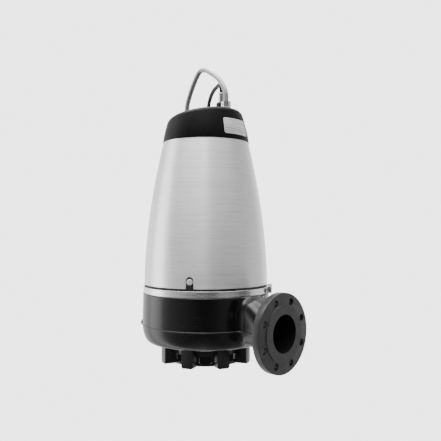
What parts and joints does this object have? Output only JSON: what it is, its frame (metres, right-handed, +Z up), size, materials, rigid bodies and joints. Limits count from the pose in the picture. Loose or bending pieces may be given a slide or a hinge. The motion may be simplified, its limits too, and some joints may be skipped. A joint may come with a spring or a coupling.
{
  "type": "submersible drainage pump",
  "caption": "Submersible drainage pump with a tapered steel motor sleeve, clamp band, round cast housing, flanged side outlet, windowed foot ring, lifting bracket and coiled cable.",
  "frame": {"origin": "on the floor, under the middle of the pump's box without its cable; the pump's upright axis stands 50.5 mm from it, at X = -0.0505", "axes": "+Z up along the pump's axis, +X out of the flanged outlet, +Y to the left of someone who looks along +X"},
  "size_m": [0.6295, 0.5364, 0.8917],
  "materials": {
    "black_iron": "satin black paint on cast iron",
    "dark_iron": "dark primed iron",
    "brushed_steel": "brushed round the axis",
    "bright_steel": "bright",
    "zinc_steel": "satin plated",
    "chrome": "polished",
    "cover_black": "matt black",
    "black_rubber": "matt",
    "gland_black": "matt",
    "cable_black": "satin cable jacket",
    "plate_metal": "satin, bare"
  },
  "bodies": {
    "root": {"pump_housing": "black_iron", "housing_plug_1": "zinc_steel", "housing_plug_2": "zinc_steel", "clamp_band": "bright_steel", "clamp_loop_1": "bright_steel", "clamp_loop_2": "bright_steel", "clamp_bolt": "zinc_steel", "clamp_nut": "zinc_steel", "motor_housing": "dark_iron", "sleeve_seal": "black_rubber", "motor_sleeve": "brushed_steel", "sleeve_screw_1": "bright_steel", "sleeve_screw_2": "bright_steel", "sleeve_screw_3": "bright_steel", "top_cover": "cover_black", "name_plate": "plate_metal", "lifting_bracket": "bright_steel", "bracket_nut_front": "zinc_steel", "bracket_nut_back": "zinc_steel", "cable_gland": "gland_black", "gland_sleeve": "chrome", "power_cable": "cable_black", "cable_coil": "cable_black", "suction_cover": "black_iron", "impeller": "dark_iron", "foot_ring": "black_iron"}
  },
  "joints": []
}
